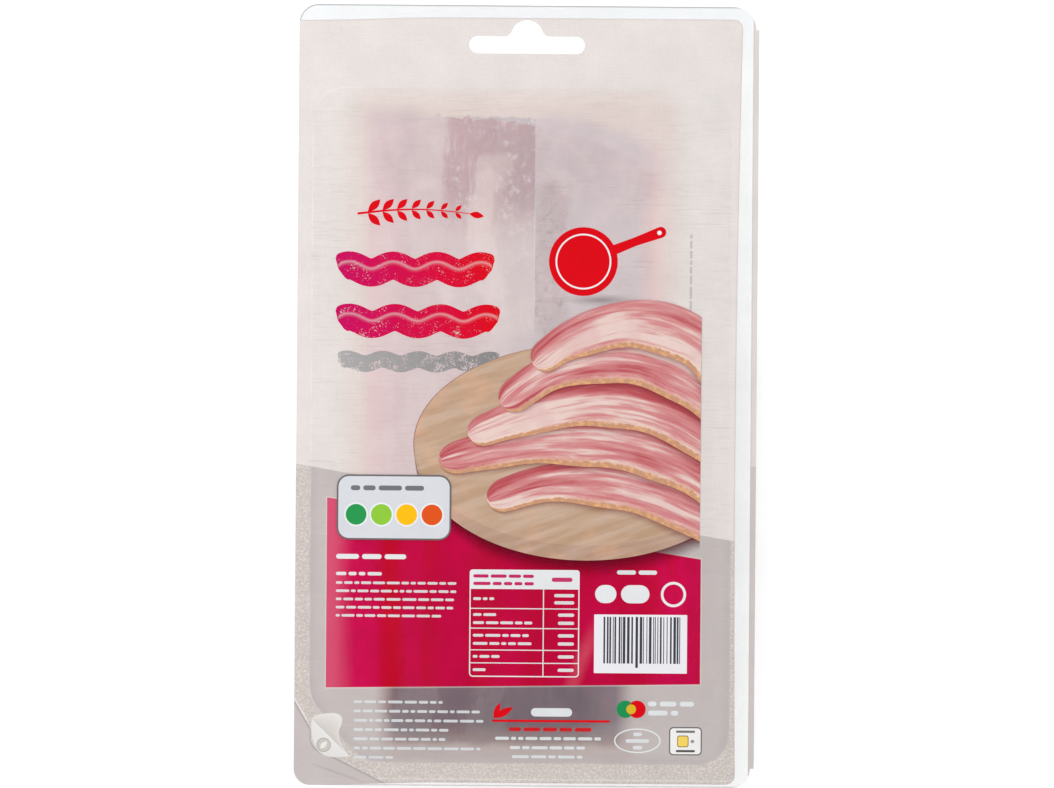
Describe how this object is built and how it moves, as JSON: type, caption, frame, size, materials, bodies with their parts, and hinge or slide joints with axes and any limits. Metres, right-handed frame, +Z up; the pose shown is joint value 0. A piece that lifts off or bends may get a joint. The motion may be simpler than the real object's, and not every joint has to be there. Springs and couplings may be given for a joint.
{
  "type": "bacon pack",
  "caption": "Flat hanging pack of bacon rashers: clear formed tray with a wide flange, euro slot and peel corner, under a partly see-through printed film.",
  "frame": {"origin": "middle of the footprint, on the surface that the pack's tray rests on", "axes": "+Z up, out of the printed face; +Y towards the end with the hang slot; +X to the right as the printed face is read"},
  "size_m": [0.142, 0.241, 0.0172],
  "materials": {
    "clear_plastic": "clear, glossy thermoformed film",
    "printed_film": "satin, printed, partly see-through",
    "bacon": "moist cured meat"
  },
  "bodies": {
    "root": {"tray": "clear_plastic", "lid_film": "printed_film", "rasher_1": "bacon", "rasher_2": "bacon", "rasher_3": "bacon", "rasher_4": "bacon", "rasher_5": "bacon", "rasher_6": "bacon", "rasher_7": "bacon", "rasher_8": "bacon"}
  },
  "joints": []
}
